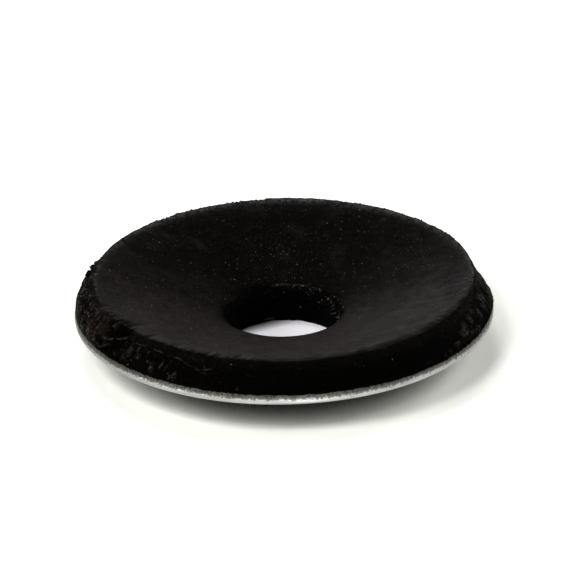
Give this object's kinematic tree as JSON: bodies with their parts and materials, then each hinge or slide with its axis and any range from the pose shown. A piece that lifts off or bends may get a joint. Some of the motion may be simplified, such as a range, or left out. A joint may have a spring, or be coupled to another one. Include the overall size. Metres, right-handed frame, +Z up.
{
  "type": "bonded sealing washer",
  "caption": "Round dished metal washer with a thick black rubber pad bonded inside the dish, to seal under a screw head.",
  "frame": {"origin": "centre of the bore, on the ground that the washer lies on", "axes": "+Z up the bore, from the metal side to the rubber side"},
  "size_m": [0.032, 0.032, 0.006],
  "materials": {
    "sheet_metal": "satin, with a burnished and a broken band on the blanked edge",
    "seal_rubber": "matt black, dusty, torn on one side"
  },
  "bodies": {
    "root": {"metal_washer": "sheet_metal", "rubber_seal": "seal_rubber"}
  },
  "joints": []
}
